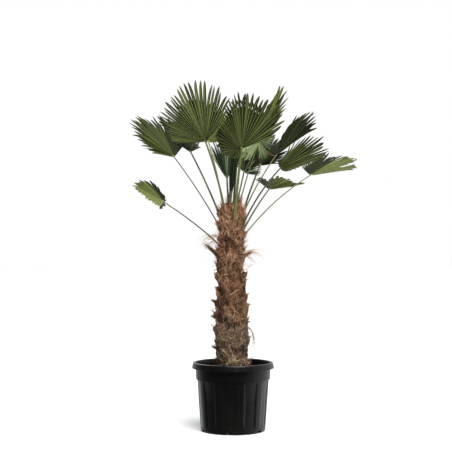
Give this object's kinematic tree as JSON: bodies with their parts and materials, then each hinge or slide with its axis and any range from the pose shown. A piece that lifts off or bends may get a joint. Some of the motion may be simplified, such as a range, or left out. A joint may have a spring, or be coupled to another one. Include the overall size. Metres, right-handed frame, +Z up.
{
  "type": "potted windmill palm",
  "caption": "Windmill palm: a fibre-wrapped trunk with slim petioles and stiff, pleated fan leaves, growing in a round ribbed black nursery pot.",
  "frame": {"origin": "middle of the pot's flat underside", "axes": "+Z up along the trunk; the large front fans face -Y, and +X is to the right seen from that side"},
  "size_m": [1.268, 0.9573, 1.9368],
  "materials": {
    "pot": "satin moulded black plastic",
    "soil": "crumbly potting mix",
    "trunk": "matted brown fibre",
    "leaf_base": "dry cut leaf base",
    "petiole": "smooth green stalk",
    "leaf": "satin leathery leaf"
  },
  "bodies": {
    "root": {"pot": "pot", "root_ball": "soil", "trunk": "trunk", "leaf_base_high_left": "leaf_base", "leaf_base_high_right": "leaf_base", "leaf_base_middle_left": "leaf_base", "leaf_base_middle_back": "leaf_base", "leaf_base_low_left": "leaf_base", "leaf_base_low_right": "leaf_base", "leaf_base_foot_left": "leaf_base", "petiole_left": "petiole", "fan_left": "leaf", "petiole_front_left": "petiole", "fan_front_left": "leaf", "petiole_front": "petiole", "fan_front": "leaf", "petiole_middle_right": "petiole", "fan_middle_right": "leaf", "petiole_right_high": "petiole", "fan_right_high": "leaf", "petiole_front_right": "petiole", "fan_front_right": "leaf", "petiole_far_right": "petiole", "fan_far_right": "leaf", "petiole_right_low": "petiole", "fan_right_low": "leaf", "petiole_left_low": "petiole", "fan_left_low": "leaf", "petiole_left_high": "petiole", "fan_left_high": "leaf", "petiole_back_left": "petiole", "fan_back_left": "leaf", "petiole_back": "petiole", "fan_back": "leaf", "petiole_back_right": "petiole", "fan_back_right": "leaf", "petiole_inner_left": "petiole", "fan_inner_left": "leaf", "petiole_inner_right": "petiole", "fan_inner_right": "leaf", "spear": "leaf"}
  },
  "joints": []
}
